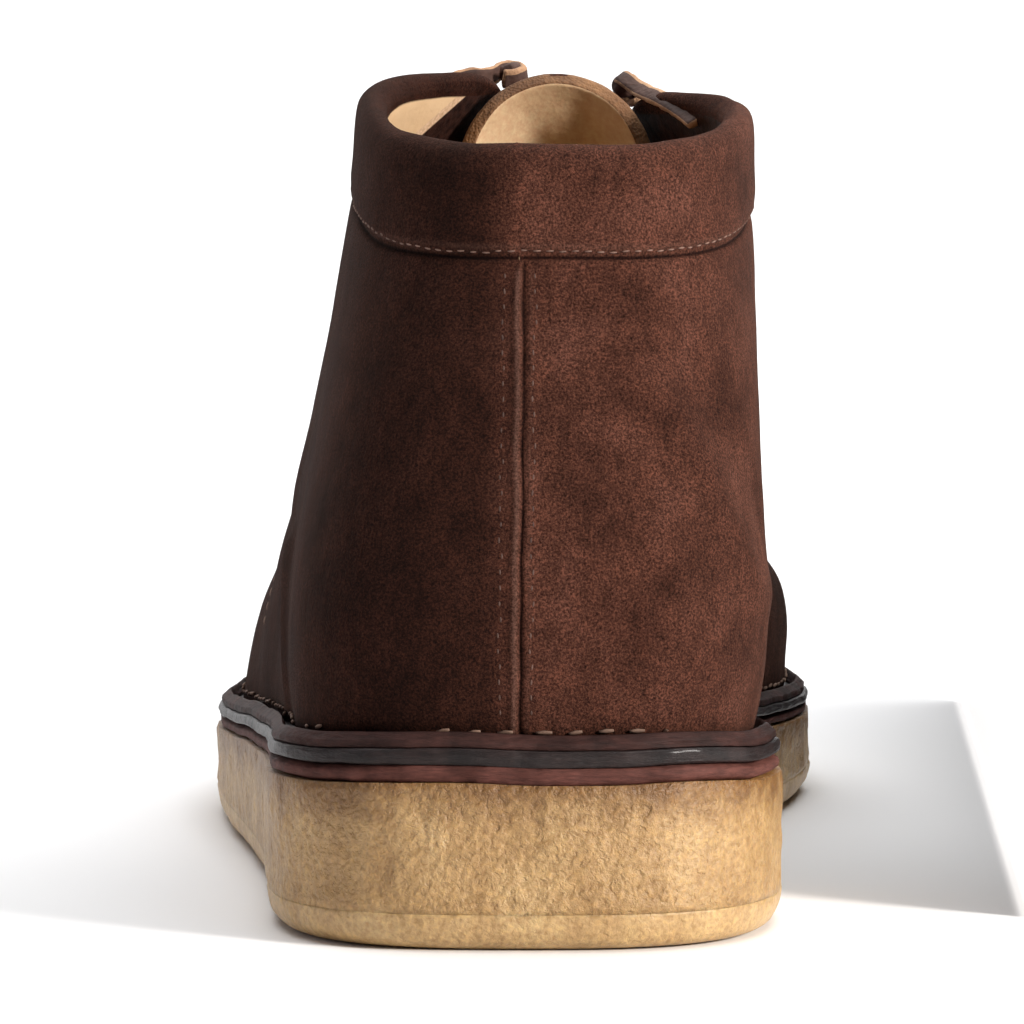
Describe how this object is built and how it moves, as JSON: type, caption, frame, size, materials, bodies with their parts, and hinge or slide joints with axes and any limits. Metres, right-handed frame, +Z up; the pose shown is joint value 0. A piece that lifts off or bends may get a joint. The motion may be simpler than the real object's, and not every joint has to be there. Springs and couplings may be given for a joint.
{
  "type": "desert boot",
  "caption": "Left desert boot: hollow ankle-high suede upper with a banded collar, arched tongue and punched lacing on a thick crepe wedge sole.",
  "frame": {"origin": "centre of the boot's box, on the ground under it", "axes": "+Z up, +Y towards the toe, +X towards the inner side of the foot"},
  "size_m": [0.1132, 0.305, 0.1358],
  "materials": {
    "crepe": "grainy natural crepe",
    "brown_edge": "red-brown dressed edge",
    "black_edge": "black polished edge",
    "welt_leather": "brown, matt",
    "lining": "natural tan, smooth",
    "suede": "napped dark-brown suede",
    "tongue_leather": "suede outside, tan lining",
    "lace_leather": "brown leather lace"
  },
  "bodies": {
    "root": {"crepe_outsole": "crepe", "crepe_wedge": "crepe", "midsole_brown": "brown_edge", "midsole_black": "black_edge", "welt": "welt_leather", "insole": "lining", "upper": "suede", "tongue": "tongue_leather", "lace": "lace_leather"}
  },
  "joints": []
}
